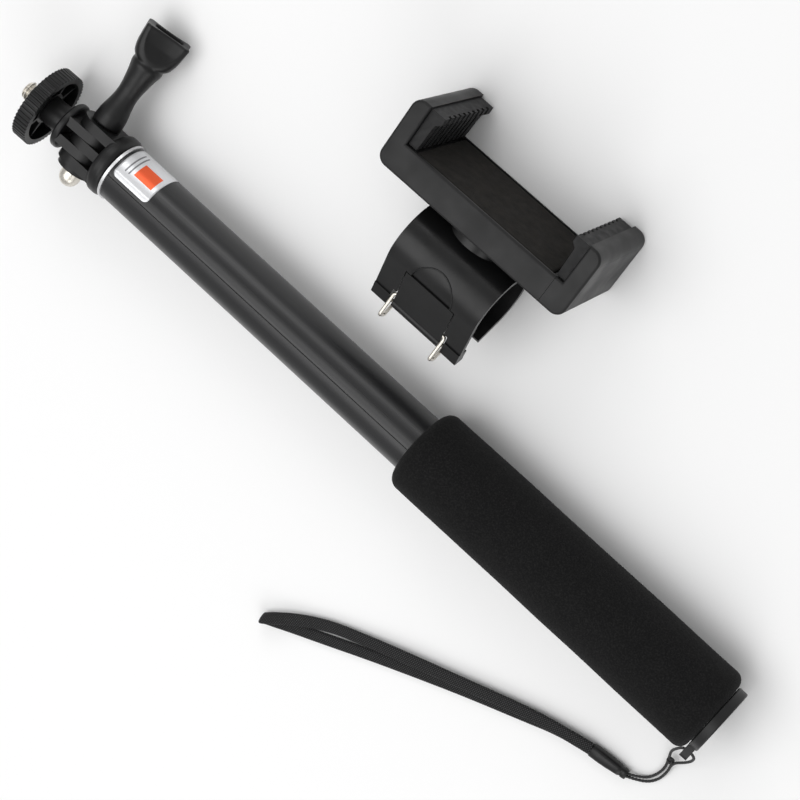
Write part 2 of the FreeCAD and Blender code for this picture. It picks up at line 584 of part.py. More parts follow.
turntable = cylinder(holder, (D["clamp_x"], D["clamp_y"], D["clamp_z"] + R - 1.0), Z, "swivel_radius",
                     str(-D["clamp_z"] - R + 1.0 - D["swivel_gap"]))
head_room = cylinder(holder, (D["clamp_x"], D["clamp_y"], D["clamp_z"] + R - wall - 3), Z, "screw_head+0.2", "4.8")
shank_room = cylinder(holder, (D["clamp_x"], D["clamp_y"], D["clamp_z"]), Z, "screw_radius+slide_gap", "20")
bore_clear = cylinder(holder, (clamp_start - 1, D["clamp_y"], D["clamp_z"]), X, "clamp_radius-clamp_wall",
                      "clamp_length+2")
part("clamp_shell", cut(fuse(shell, turntable, *feet), window, bail_room, pin_hole, scoop, head_room,
                        shank_room, bore_clear))

head_low = D["clamp_z"] + R - wall + 0.35
screw_seat = D["clamp_z"] + R - wall - 3 + 4.8
part("holder_screw", fuse(
    cylinder(holder, (D["clamp_x"], D["clamp_y"], head_low), Z, "screw_head", str(screw_seat - 0.05 - head_low)),
    cylinder(holder, (D["clamp_x"], D["clamp_y"], screw_seat - 0.5), Z, "screw_radius",
             str(D["screw_top"] - screw_seat + 0.5))))

part("lever_pin", feature(Part.makeCylinder(D["pin_radius"], pin_length, pin_at, X), lip))
plate = Part.makeBox(2 * half, D["lever_end"] - D["lever_start"], wall, Vector(-half, D["lever_start"], -wall))
barrel = Part.makeCylinder(D["barrel_radius"], 2 * half, Vector(-half, D["pin_place"], -wall / 2), X)
pin_bore = Part.makeCylinder(D["pin_radius"] + 0.05, 2 * half + 2, Vector(-half - 1, D["pin_place"], -wall / 2), X)
wire_bore = Part.makeCylinder(D["bail_radius"] + 0.05, 2 * half + 2,
                              Vector(-half - 1, D["bail_place"], -wall / 2), X)
wire_core = Part.makeBox(2 * half - 4, 4, 4, Vector(2 - half, D["bail_place"] - 2, -wall / 2 - 2))
part("latch_lever", feature(plate.fuse(barrel).cut(pin_bore).cut(wire_bore.cut(wire_core)), lip))


def bail_point(side, spot_yz):
    return (D["clamp_x"] + side * D["bail_half"], spot_yz[0], spot_yz[1])


pivot_local = lip.multVec(Vector(0, D["bail_place"], -wall / 2))
pivot = holder.inverse().multVec(pivot_local)
cross_local = clamp.multVec(spot(R, far, 5.5, -1) + Vector(0, math.cos(far), math.sin(far)) * 0.95)
cross = holder.inverse().multVec(cross_local)
leg = [(pivot.y, pivot.z), (pivot.y - 0.3, pivot.z - 8.3), (pivot.y + 3.8, pivot.z - 9.6), (cross.y, cross.z)]
inner = [(D["clamp_x"] + s * (half - 1.6), pivot.y, pivot.z) for s in (-1, 1)]
bail_route = ([inner[0]] + [bail_point(-1, p) for p in leg]
              + [bail_point(1, p) for p in reversed(leg)] + [inner[1]])


def wire_path(points, bend):
    """Straight runs with equal small bends."""
    route = [Vector(*p) for p in points]
    edges, start = [], route[0]
    for before, corner, after in zip(route, route[1:], route[2:]):
        back, ahead = (before - corner).normalize(), (after - corner).normalize()
        turn = math.pi - back.getAngle(ahead)
        reach = bend * math.tan(turn / 2)
        one, two = corner + back * reach, corner + ahead * reach
        middle = corner + (back + ahead).normalize() * (bend / math.cos(turn / 2) - bend)
        edges += [Part.LineSegment(start, one).toShape(), Part.Arc(one, middle, two).toShape()]
        start = two
    edges.append(Part.LineSegment(start, route[-1]).toShape())
    return Part.Wire(edges)


bail_wire = wire_path(bail_route, 0.9)
bail_end = Part.Wire(Part.makeCircle(D["bail_radius"], Vector(*bail_route[0]), X))
part("wire_bail", feature(bail_wire.makePipeShell([bail_end], True, False), holder))


# ---------------------------------------------------------------- wrist strap
eye = floor.inverse().multVec(stick.multVec(Vector(D["rear_1"] - 0.1 - D["lug_thick"] / 2, D["eye_reach"], 0)))
joiner_cord_end = Vector(-235.5, 41.0, 1.9)
joiner_strap_end = Vector(-222.8, 42.8, 1.9)

INNER_CORD = [
    (eye.x, eye.y, eye.z), (eye.x + 1.6, eye.y + 0.2, eye.z - 0.1), (-240.8, 17.9, 11.0), (-240.2, 22.4, 6.0),
    (-241.2, 26.6, 2.6), (-242.3, 31.0, 0.9), (-241.6, 35.6, 0.55), (-239.3, 38.8, 0.9), (-235.4, 40.6, 1.9)]
OUTER_CORD = [
    (eye.x, eye.y, eye.z), (eye.x - 2.4, eye.y + 0.2, eye.z - 0.2), (-246.7, 17.0, 11.2), (-245.6, 22.0, 6.0),
    (-242.8, 26.9, 2.8), (-243.6, 31.4, 1.1), (-243.0, 36.2, 0.55), (-240.1, 39.8, 0.9), (-235.4, 41.6, 1.9)]
STRAP = [
    (-222.8, 43.3, 1.05), (-213.1, 45.6, 0.82), (-200.5, 51.2, 0.82), (-183.8, 58.4, 0.82), (-168.0, 65.8, 0.82),
    (-152.3, 73.4, 0.82), (-138.5, 80.5, 0.82), (-127.5, 86.0, 0.82), (-121.5, 89.2, 0.82), (-117.9, 91.0, 0.82),
    (-118.3, 89.6, 3.7), (-121.4, 86.7, 3.2), (-127.0, 82.0, 2.15), (-136.5, 75.6, 1.65), (-148.0, 70.2, 2.0),
    (-161.5, 64.2, 2.5), (-177.5, 57.9, 2.5), (-194.0, 51.3, 2.5), (-208.5, 45.9, 2.5), (-222.8, 42.4, 2.75)]


def flat_outline(width, thick):
    """The strap's oval section, upright across its first run."""
    def outline(first):
        oval = Part.Ellipse(Vector(), width / 2, thick / 2).toShape()
        side = Z.cross(first).normalize()
        oval.Placement = Placement(Vector(), Rotation(side, first.cross(side), first, "ZXY"))
        return Part.Wire(oval)
    return outline


part("cord_inner", feature(tube_on(INNER_CORD, round_outline(D["cord_radius"]), "cord_inner"), floor))
part("cord_outer", feature(tube_on(OUTER_CORD, round_outline(D["cord_radius"]), "cord_outer"), floor))
part("strap_loop", feature(tube_on(STRAP, flat_outline(D["strap_width"], D["strap_thick"]), "strap_loop"), floor))

ball = doc.addObject("Part::Sphere", "Knot")
bind(ball, Radius="Dims.knot_radius")
ball.Placement = floor.multiply(Placement(Vector(-242.0, 26.8, 2.7), Rotation()))
part("cord_knot", ball)

along = joiner_cord_end - joiner_strap_end
joiner_frame = floor.multiply(Placement(joiner_strap_end, Rotation(along, Vector(), Z, "XZY")))
long = along.Length


def joiner_section(x, half_width, half_height):
    oval = Part.Ellipse(Vector(), half_width, half_height).toShape()
    oval.Placement = Placement(Vector(x, 0, 0), Rotation(Y, Z, X, "ZXY"))
    return Part.Wire(oval)


part("strap_joiner", feature(Part.makeLoft([
    joiner_section(0, 2.15, 1.85), joiner_section(long * 0.25, 2.2, 1.88), joiner_section(long * 0.6, 2.05, 1.8),
    joiner_section(long, 1.62, 1.5)], True), joiner_frame))


# ---------------------------------------------------------------- checks and files
doc.recompute()
failed = [o.Name for o in doc.Objects if "Invalid" in o.State or "Error" in o.State]
if failed:
    raise RuntimeError(f"failed objects: {failed}")
whole = FreeCAD.BoundBox()
for name, thing in NODES:
    shape = thing.Shape
    if shape.isNull() or not shape.isValid() or len(shape.Solids) != 1:
        raise RuntimeError(f"{name}: null {shape.isNull()}, valid {shape.isValid()}, {len(shape.Solids)} solids")
    if name not in ("cord_inner", "cord_outer", "strap_loop", "cord_knot", "strap_joiner"):
        whole.add(shape.BoundBox)
    print(f"{name}: volume {shape.Volume:.1f}, box {shape.BoundBox}")
print("box without the strap:", whole)
os.makedirs("parts", exist_ok=True)
for name, thing in NODES:
    thing.Shape.exportStep(f"parts/{name}.step")
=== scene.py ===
"""The looks of a telescopic selfie stick with a tilting screw mount, a wrist strap and a loose phone holder.

Shapes are worked out in millimetres in each assembly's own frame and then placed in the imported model,
which is in metres.
"""
import json
import math

import bmesh
import bpy
import numpy as np
from mathutils import Matrix, Vector, noise


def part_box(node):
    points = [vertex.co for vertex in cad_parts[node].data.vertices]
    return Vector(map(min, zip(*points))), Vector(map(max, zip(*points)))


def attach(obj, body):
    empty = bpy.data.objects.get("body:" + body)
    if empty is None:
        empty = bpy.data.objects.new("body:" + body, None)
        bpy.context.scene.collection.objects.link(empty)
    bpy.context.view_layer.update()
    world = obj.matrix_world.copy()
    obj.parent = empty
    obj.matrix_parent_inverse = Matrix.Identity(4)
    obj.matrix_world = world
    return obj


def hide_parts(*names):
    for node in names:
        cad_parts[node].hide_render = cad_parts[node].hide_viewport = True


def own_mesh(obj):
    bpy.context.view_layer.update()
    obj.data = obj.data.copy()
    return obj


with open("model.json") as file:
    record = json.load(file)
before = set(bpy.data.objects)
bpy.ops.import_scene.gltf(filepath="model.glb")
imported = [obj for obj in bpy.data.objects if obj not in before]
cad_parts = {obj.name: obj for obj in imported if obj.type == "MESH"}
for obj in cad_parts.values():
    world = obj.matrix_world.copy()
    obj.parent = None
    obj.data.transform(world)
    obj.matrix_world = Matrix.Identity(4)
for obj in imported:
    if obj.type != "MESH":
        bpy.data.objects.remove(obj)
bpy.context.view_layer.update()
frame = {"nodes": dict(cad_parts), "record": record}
NODES = frame["nodes"]
MM = 0.001


# ---------------------------------------------------------------- frames of the assemblies
ROLL, TILT, KNOB_TURN = math.radians(9.2), math.radians(4.5), math.radians(27)
TUBE_FRONT, HINGE_AT = -2.3, 11.4


def middle(node):
    low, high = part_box(node)
    return (low + high) / 2


def assembly_frames():
    """Matrices from millimetres in the stick's, adapter's, knob's and holder's frames to the row frame."""
    axis = middle("foam_grip")
    start = Vector((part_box("outer_tube")[1].x - TUBE_FRONT * MM, axis.y, axis.z))
    along = Matrix.Translation(start) @ Matrix.Rotation(ROLL, 4, "X") @ Matrix.Scale(MM, 4)
    pivot = along @ Matrix.Translation((HINGE_AT, 0, 0))
    cradle = Matrix.Translation(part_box("cradle_body")[1]) @ Matrix(
        ((-MM, 0, 0, 0), (0, 0, -MM, 0), (0, -MM, 0, 0), (0, 0, 0, 1)))
    adapter = pivot @ Matrix.Rotation(-TILT, 4, "Y")
    knob = pivot @ Matrix.Rotation(-KNOB_TURN, 4, "Y")
    return along, adapter, knob, cradle


STICK, ADAPTER, KNOB, HOLDER = assembly_frames()
FLOOR = Matrix.Translation((STICK.translation.x, STICK.translation.y, 0)) @ Matrix.Scale(MM, 4)


# ---------------------------------------------------------------- camera, lights and floor
def make_camera():
    data = bpy.data.cameras.new("camera")
    data.lens, data.sensor_width, data.clip_start = 97.03, 36, 0.01
    camera = bpy.data.objects.new("camera", data)
    bpy.context.scene.collection.objects.link(camera)
    right, up = (-0.72357, -0.53157, -0.44024), (0.66142, -0.71629, -0.22221)
    back = (-0.19723, -0.45199, 0.86991)
    place = Matrix((right, up, back)).transposed().to_4x4()
    place.translation = (-0.13595, -0.25582, 0.5655)
    camera.matrix_world = place
    bpy.context.scene.camera = camera


def lamp(name, at, aim, size, watts):
    data = bpy.data.lights.new(name, "AREA")
    data.shape, data.size, data.size_y, data.energy = "RECTANGLE", size[0], size[1], watts
    light = bpy.data.objects.new(name, data)
    light.location = at
    light.rotation_euler = (Vector(aim) - Vector(at)).to_track_quat("-Z", "Y").to_euler()
    bpy.context.scene.collection.objects.link(light)


def make_studio():
    lamp("soft_top", (0.15, 0.2, 0.95), (0, 0, 0), (0.9, 0.7), 4.4)
    lamp("soft_side", (-0.8, 0.7, 0.7), (0, 0, 0), (0.8, 0.6), 2.8)
    lamp("soft_front", (0.5, -0.9, 0.6), (0, 0, 0), (0.7, 0.4), 2.2)
    world = bpy.data.worlds.new("studio")
    world.use_nodes = True
    world.node_tree.nodes["Background"].inputs["Color"].default_value = (1, 1, 1, 1)
    world.node_tree.nodes["Background"].inputs["Strength"].default_value = 0.55
    bpy.context.scene.world = world
    bpy.context.scene.view_settings.view_transform = "Standard"
    half = 3.0
    mesh = bpy.data.meshes.new("studio_floor")
    corners = [(-half, -half, 0), (half, -half, 0), (half, half, 0), (-half, half, 0)]
    mesh.from_pydata(corners, [], [(0, 1, 2, 3)])
    ground = bpy.data.objects.new("studio_floor", mesh)
    bpy.context.scene.collection.objects.link(ground)
    paper = Finish("floor_paper", (0.92, 0.92, 0.92), 0.8)
    paper.grain(2.0, 0.02)
    mesh.materials.append(paper.material)


# ---------------------------------------------------------------- materials
class Finish:
    """One Principled material whose colour, roughness and relief come from its own nodes."""

    def __init__(self, name, colour, rough, metal=0.0, **sockets):
        self.material = bpy.data.materials.new(name)
        self.material.use_nodes = True
        self.tree = self.material.node_tree
        self.shader = self.tree.nodes["Principled BSDF"]
        self.colour, self.rough, self.height = colour, rough, None
        self.shader.inputs["Base Color"].default_value = (*colour, 1)
        self.shader.inputs["Roughness"].default_value = rough
        self.shader.inputs["Metallic"].default_value = metal
        for socket, value in sockets.items():
            self.shader.inputs[socket.replace("_", " ")].default_value = value

    def node(self, kind, links=(), **settings):
        made = self.tree.nodes.new("ShaderNode" + kind)
        for name, value in settings.items():
            setattr(made, name, value)
        for socket, source in dict(links).items():
            if isinstance(source, bpy.types.NodeSocket):
                self.tree.links.new(source, made.inputs[socket])
            else:
                made.inputs[socket].default_value = source
        return made

    def place(self, stretch=(1, 1, 1)):
        """Coordinates on the piece in millimetres, shrunk along each axis by stretch."""
        spot = self.node("TexCoord").outputs["Object"]
        return self.node("Mapping", {0: spot, "Scale": [1000 / s for s in stretch]}).outputs[0]

    def noise(self, size, stretch=(1, 1, 1), detail=3.0, rough=0.55):
        """Noise with spots about size millimetres across."""
        return self.node("TexNoise", {"Vector": self.place(stretch), "Scale": 1 / size, "Detail": detail,
                                      "Roughness": rough}).outputs["Fac"]

    def ramp(self, source, low, high, start=0.3, end=0.7):
        """A number from low to high as the source goes from start to end."""
        return self.node("MapRange", {0: source, 1: start, 2: end, 3: low, 4: high}).outputs[0]

    def mix(self, factor, first, second):
        made = self.node("Mix", data_type="RGBA")
        for socket, value in ((0, factor), (6, first), (7, second)):
            if isinstance(value, bpy.types.NodeSocket):
                self.tree.links.new(value, made.inputs[socket])
            else:
                made.inputs[socket].default_value = value if socket == 0 else (*value, 1)
        return made.outputs[2]

    def tint(self, factor, other):
        """Blend the base colour towards another where factor is high."""
        mixed = self.mix(factor, self.colour, other)
        self.tree.links.new(mixed, self.shader.inputs["Base Color"])

    def vary(self, source, low, high):
        """Roughness from low to high over the source."""
        self.tree.links.new(self.ramp(source, low, high), self.shader.inputs["Roughness"])

    def relief(self, source, depth):
        """Add relief of about depth millimetres."""
        links = {"Height": source, "Distance": depth * MM, "Strength": 1.0}
        if self.height:
            links["Normal"] = self.height
        self.height = self.node("Bump", links).outputs[0]
        self.tree.links.new(self.height, self.shader.inputs["Normal"])

    def grain(self, size, depth, stretch=(1, 1, 1)):
        self.relief(self.noise(size, stretch, 4.0), depth)


def black_plastic(name, colour, rough, grain, depth):
    """Moulded plastic: a fine eroded grain with slightly shinier rubbed patches."""
    made = Finish(name, colour, rough, Specular_IOR_Level=0.32)
    worn = made.noise(9.0, detail=2.0)
    made.vary(worn, rough - 0.06, rough + 0.08)
    made.tint(made.ramp(made.noise(4.0), 0.0, 0.5), tuple(c * 1.5 for c in colour))
    made.grain(grain, depth)
    return made.material


def anodised_tube():
    """Satin black anodised aluminium with faint draw lines along the tube."""
    made = Finish("anodised_black", (0.009, 0.009, 0.0098), 0.3, Specular_IOR_Level=0.5)
    lines = made.noise(0.25, (220, 1, 1), 3.0)
    made.vary(lines, 0.27, 0.38)
    made.tint(made.ramp(made.noise(6.0, (12, 1, 1)), 0.0, 0.6), (0.013, 0.013, 0.0142))
    made.relief(lines, 0.004)
    made.grain(0.35, 0.002)
    return made.material


def bright_metal(name, colour, rough, lines=(1, 1, 1)):
    """Plated or polished metal with fine handling marks."""
    made = Finish(name, colour, rough, 1.0)
    marks = made.noise(0.6, lines, 4.0)
    made.vary(marks, rough * 0.7, rough * 1.5)
    made.tint(made.ramp(made.noise(1.8), 0.0, 0.6), tuple(c * 0.82 for c in colour))
    made.relief(marks, 0.003)
    return made.material


def pored_foam():
    """Black nitrile foam: close small pores with a dusty face between them."""
    made = Finish("grip_foam", (0.0058, 0.0058, 0.006), 0.92, Sheen_Weight=0.02, Sheen_Roughness=0.6,
                  Specular_IOR_Level=0.12)
    cells = made.node("TexVoronoi", {"Vector": made.place(), "Scale": 1 / 0.42, "Randomness": 1.0})
    pits = made.ramp(cells.outputs["Distance"], 0.0, 1.0, 0.1, 0.5)
    made.tint(made.ramp(made.noise(0.5, detail=5.0), 0.0, 0.85, 0.45, 0.75), (0.017, 0.0168, 0.0165))
    made.vary(made.noise(5.0), 0.88, 0.98)
    made.relief(pits, 0.05)
    made.grain(1.1, 0.06)
    return made.material


def bed_foam():
    """Thin dark sheet foam with a slightly brown, dusty skin."""
    made = Finish("bed_foam", (0.0092, 0.0084, 0.0076), 0.88, Sheen_Weight=0.02, Specular_IOR_Level=0.15)
    made.tint(made.ramp(made.noise(3.0, detail=5.0), 0.0, 0.8), (0.019, 0.0165, 0.014))
    made.vary(made.noise(4.0), 0.82, 0.95)
    cells = made.node("TexVoronoi", {"Vector": made.place(), "Scale": 1 / 0.3})
    made.relief(cells.outputs["Distance"], 0.025)
    made.grain(0.9, 0.05)
    return made.material


def soft_rubber():
    made = Finish("ribbed_rubber", (0.010, 0.010, 0.0104), 0.62, Specular_IOR_Level=0.3)
    made.vary(made.noise(2.2), 0.52, 0.7)
    made.tint(made.ramp(made.noise(1.4), 0.0, 0.5), (0.016, 0.016, 0.0166))
    made.grain(0.3, 0.012)
    return made.material


def printed_foil():
    """Brushed silver foil with a plain orange bar and two hairlines; u runs along the tube, v round it."""
    made = Finish("label_foil", (0.74, 0.745, 0.76), 0.34, 0.55)
    spot = made.node("UVMap", uv_map="print").outputs[0]
    split = made.node("SeparateXYZ", {0: spot})
    u, v = split.outputs[0], split.outputs[1]

    def inside(source, low, high):
        above = made.node("Math", {0: source, 1: low}, operation="GREATER_THAN").outputs[0]
        below = made.node("Math", {0: source, 1: high}, operation="LESS_THAN").outputs[0]
        return made.node("Math", {0: above, 1: below}, operation="MULTIPLY").outputs[0]

    def both(one, two, operation="MULTIPLY"):
        return made.node("Math", {0: one, 1: two}, operation=operation).outputs[0]

    bar = both(inside(u, 0.12, 0.62), inside(v, 0.20, 0.46))
    hair = both(both(inside(u, 0.70, 0.735), inside(u, 0.80, 0.835), "MAXIMUM"), inside(v, 0.16, 0.62))
    brushed = made.noise(0.3, (1, 40, 1))
    foil = made.mix(made.ramp(brushed, 0.0, 0.5), made.colour, (0.62, 0.63, 0.65))
    inked = made.mix(bar, foil, (0.83, 0.115, 0.035))
    lined = made.mix(hair, inked, (0.20, 0.20, 0.21))
    made.tree.links.new(lined, made.shader.inputs["Base Color"])
    made.vary(brushed, 0.28, 0.42)
    made.relief(made.noise(1.5), 0.01)
    return made.material


def braided_tape():
    """Black polyester yarn with a painted highlight on the raised crossings, which the piece's crown
    attribute marks.
    """
    made = Finish("braided_tape", (0.0035, 0.0035, 0.0037), 0.66, Sheen_Weight=0.02, Specular_IOR_Level=0.25)
    crown_highlight = made.node("Attribute", attribute_name="crown_highlight").outputs["Fac"]
    worn = made.mix(made.ramp(made.noise(0.35, detail=4.0), 0.0, 0.9), made.colour, (0.009, 0.009, 0.0095))
    # painted highlight: the base colour turns grey on the top of each yarn crossing
    highlighted_dots = made.mix(made.ramp(crown_highlight, 0.0, 1.0, 0.3, 0.95), worn, (0.17, 0.17, 0.175))
    made.tree.links.new(highlighted_dots, made.shader.inputs["Base Color"])
    made.vary(made.noise(0.8), 0.62, 0.82)
    made.grain(0.12, 0.02)
    return made.material


def thin_cord_yarn():
    made = Finish("twisted_cord", (0.010, 0.010, 0.0105), 0.6)
    made.tint(made.ramp(made.noise(0.3), 0.0, 0.8), (0.024, 0.024, 0.025))
    made.vary(made.noise(0.6), 0.52, 0.7)
    made.grain(0.1, 0.012)
    return made.material


def natural_acetal():
    made = Finish("natural_acetal", (0.46, 0.46, 0.43), 0.42)
    made.tint(made.ramp(made.noise(3.0), 0.0, 0.5), (0.36, 0.36, 0.33))
    made.vary(made.noise(1.2), 0.36, 0.5)
    made.grain(0.4, 0.006)
    return made.material


def finishes():
    """Material for each slot of the record."""
    steel = bright_metal("nickel_plate", (0.72, 0.685, 0.62), 0.3)
    return {
        "tube_black": anodised_tube(),
        "ring_chrome": bright_metal("satin_chrome", (0.80, 0.80, 0.81), 0.42),
        "inner_plastic": natural_acetal(),
        "grip_foam": pored_foam(),
        "cap_plastic": black_plastic("cap_plastic", (0.0085, 0.0085, 0.0088), 0.38, 0.3, 0.006),
        "label_foil": printed_foil(),
        "thin_cord": thin_cord_yarn(),
        "strap_braid": braided_tape(),
        "head_plastic": black_plastic("head_plastic", (0.006, 0.006, 0.0062), 0.38, 0.25, 0.006),
        "bright_steel": steel,
        "holder_plastic": black_plastic("holder_plastic", (0.006, 0.006, 0.0062), 0.46, 0.22, 0.01),
        "bed_foam": bed_foam(),
        "jaw_rubber": soft_rubber(),
        "clamp_plastic": black_plastic("clamp_plastic", (0.006, 0.006, 0.0062), 0.34, 0.4, 0.004),
    }


make_camera()
make_studio()
FINISH = finishes()
SLOTS = {s["node"]: s["material_slot"] for s in frame["record"]["subparts"]}
for name, cad_node in NODES.items():
    cad_node.data.materials.clear()
    cad_node.data.materials.append(FINISH[SLOTS[name]])


# ---------------------------------------------------------------- mesh helpers
def piece(name, points, faces, place, body, slot, replaced, smooth=True):
    """A new mesh piece: points in millimetres in an assembly's frame."""
    mesh = bpy.data.meshes.new(name)
    mesh.from_pydata([tuple(p) for p in points], [], faces)
    mesh.transform(place)
    mesh.validate()
    made = bpy.data.objects.new(name, mesh)
    bpy.context.scene.collection.objects.link(made)
    if smooth:
        mesh.shade_smooth()
    mesh.materials.append(FINISH[slot])
    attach(made, body)
    if replaced:
        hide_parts(*replaced)
    return made


def skin(rings, closed=False, caps=True):
    """Points and faces of a surface through equal rings; closed joins the last ring to the first."""
    count, around = len(rings), len(rings[0])
    faces = []
    for i in range(count if closed else count - 1):
        one, two = i * around, (i + 1) % count * around
        faces += [(one + k, one + (k + 1) % around, two + (k + 1) % around, two + k) for k in range(around)]
    if caps and not closed:
        faces.append(tuple(reversed(range(around))))
        faces.append(tuple(range((count - 1) * around, count * around)))
    return [p for ring in rings for p in ring], faces


def ring_x(x, radius, count):
    """A circle of that radius round the X axis."""
    return [(x, radius * math.cos(2 * math.pi * k / count), radius * math.sin(2 * math.pi * k / count))
            for k in range(count)]


def face_out(made):
    """Turn a closed piece's faces to point outwards."""
    work = bmesh.new()
    work.from_mesh(made.data)
    bmesh.ops.recalc_face_normals(work, faces=work.faces)
    work.to_mesh(made.data)
    work.free()


def spline_path(points, step):
    """Points every step millimetres along the route's smooth line, in millimetres in the floor's frame."""
    data = bpy.data.curves.new("route", "CURVE")
    data.dimensions = "3D"
    spline = data.splines.new("NURBS")
    spline.points.add(len(points) - 1)
    for point, at in zip(spline.points, points):
        point.co = (*at, 1)
    spline.order_u = 3
    spline.use_endpoint_u = True
    spline.resolution_u = 32
    holder = bpy.data.objects.new("route", data)
    mesh = bpy.data.meshes.new_from_object(holder)
    line = np.array([v.co for v in mesh.vertices])
    bpy.data.objects.remove(holder)
    lengths = np.concatenate([[0], np.cumsum(np.linalg.norm(np.diff(line, axis=0), axis=1))])
    keep = np.concatenate([[True], np.diff(lengths) > 1e-6])
    even = np.linspace(0, lengths[-1], int(lengths[-1] / step) + 1)
    return np.stack([np.interp(even, lengths[keep], line[keep][:, k]) for k in range(3)], 1), even


def sweep(path, section):
    """Rings along a path. section(i) gives a ring's offsets across and up; the first ring lies level."""
    tangents = np.gradient(path, axis=0)
    tangents /= np.linalg.norm(tangents, axis=1)[:, None]
    side = np.cross((0, 0, 1), tangents[0])
    rings = []
    for i, (point, ahead) in enumerate(zip(path, tangents)):
        side = side - ahead * side.dot(ahead)
        level = side * (1, 1, 0.97)
        side = level / np.linalg.norm(level)
        across, high = section(i)
        rings.append(point + np.outer(across, side) + np.outer(high, np.cross(ahead, side)))
    return rings


# ---------------------------------------------------------------- wrist strap and its thin cord
CORD_WIDE, STRAP_WIDE, STRAP_THICK = 0.9, 4.0, 1.6
EYE = (-243.75, 12.833, 16.078)
INNER_CORD = [
    EYE, (-242.15, 13.03, 15.98), (-240.8, 17.9, 11.0), (-240.2, 22.4, 6.0), (-241.2, 26.6, 2.6),
    (-242.3, 31.0, 0.9), (-241.6, 35.6, 0.55), (-239.3, 38.8, 0.9), (-235.4, 40.6, 1.9)]
OUTER_CORD = [
    EYE, (-246.15, 13.03, 15.88), (-246.7, 17.0, 11.2), (-245.6, 22.0, 6.0), (-242.8, 26.9, 2.8),
    (-243.6, 31.4, 1.1), (-243.0, 36.2, 0.55), (-240.1, 39.8, 0.9), (-235.4, 41.6, 1.9)]
STRAP = [
    (-222.8, 43.3, 1.05), (-213.1, 45.6, 0.82), (-200.5, 51.2, 0.82), (-183.8, 58.4, 0.82),
    (-168.0, 65.8, 0.82), (-152.3, 73.4, 0.82), (-138.5, 80.5, 0.82), (-127.5, 86.0, 0.82),
    (-121.5, 89.2, 0.82), (-117.9, 91.0, 0.82),
    (-118.3, 89.6, 3.7), (-121.4, 86.7, 3.2), (-127.0, 82.0, 2.15), (-136.5, 75.6, 1.65), (-148.0, 70.2, 2.0),
    (-161.5, 64.2, 2.5), (-177.5, 57.9, 2.5), (-194.0, 51.3, 2.5), (-208.5, 45.9, 2.5), (-222.8, 42.4, 2.75)]


def twisted_cord(name, points):
    """Two plies laid together: a waisted section that turns once every two millimetres."""
    path, along = spline_path(points, 0.12)
    angle = np.linspace(0, 2 * math.pi, 16, endpoint=False)

    def section(i):
        lay = 2 * math.pi * along[i] / 2.0
        radius = CORD_WIDE / 2 * (0.80 + 0.20 * np.abs(np.cos(angle - lay)))
        return radius * np.cos(angle), radius * np.sin(angle)

    made = piece(name + "_twist", *skin(sweep(path, section)), FLOOR, "handle", "thin_cord", [name])
    face_out(made)
    return made


def braided_strap():
    """A tubular braid pressed flat: two sets of yarns spiral opposite ways and pass over and under."""
    path, along = spline_path(STRAP, 0.16)
    around, yarns, lay = 96, 10, 8.4
    turn = np.arange(around) / around
    angle = 2 * math.pi * turn
    flatness = 0.72
    across = STRAP_WIDE / 2 * np.sign(np.cos(angle)) * np.abs(np.cos(angle)) ** flatness
    high = STRAP_THICK / 2 * np.sign(np.sin(angle)) * np.abs(np.sin(angle)) ** flatness
    edges = np.hypot(np.roll(across, -1) - across, np.roll(high, -1) - high)
    girth = np.concatenate([[0], np.cumsum(edges)[:-1]]) / edges.sum()
    crown_highlights = []

    def section(i):
        one, two = yarns * (along[i] / lay + girth), yarns * (along[i] / lay - girth)
        x, y = one % 1 - 0.5, two % 1 - 0.5
        over = (np.floor(one) + np.floor(two)) % 2 == 0
        wide, long = np.where(over, x, y), np.where(over, y, x)
        rise = 0.65 * np.sqrt(1 - (1.9 * wide) ** 2) + 0.35 * np.cos(math.pi * long)
        # weight of the painted highlight, highest on the top of each yarn crossing
        crown_highlights.extend(np.cos(math.pi * wide) ** 3 * np.cos(math.pi * long) ** 4)
        return across * (1 + 0.1 * (rise - 1)), high * (1 + 0.34 * (rise - 1))

    made = piece("strap_braid", *skin(sweep(path, section)), FLOOR, "handle", "strap_braid", ["strap_loop"])
    face_out(made)
    # stores the painted highlight weight on the strap for its shader
    made.data.attributes.new("crown_highlight", "FLOAT", "POINT").data.foreach_set("value", crown_highlights)
    return made


def cord_knot():
    """The knot that holds the two cords together: a trefoil of the same cord, drawn tight."""
    at = FLOOR.inverted() @ middle("cord_knot")
    rings, around, count = [], 10, 72
    for i in range(count):
        t = 2 * math.pi * i / count

        def line(s):
            reach = 0.62 + 0.24 * math.cos(3 * s)
            return Vector((reach * math.cos(2 * s), 1.05 * reach * math.sin(2 * s), 0.38 * math.sin(3 * s)))

        here, ahead = line(t), (line(t + 0.01) - line(t - 0.01)).normalized()
        side = ahead.orthogonal().normalized() if i == 0 else (side - ahead * side.dot(ahead)).normalized()
        up = ahead.cross(side)
        rings.append([at + here + 0.40 * (side * math.cos(a) + up * math.sin(a))
                      for a in (2 * math.pi * k / around for k in range(around))])
    made = piece("cord_knot_tied", *skin(rings, closed=True), FLOOR, "handle", "thin_cord", ["cord_knot"])
    face_out(made)
    return made


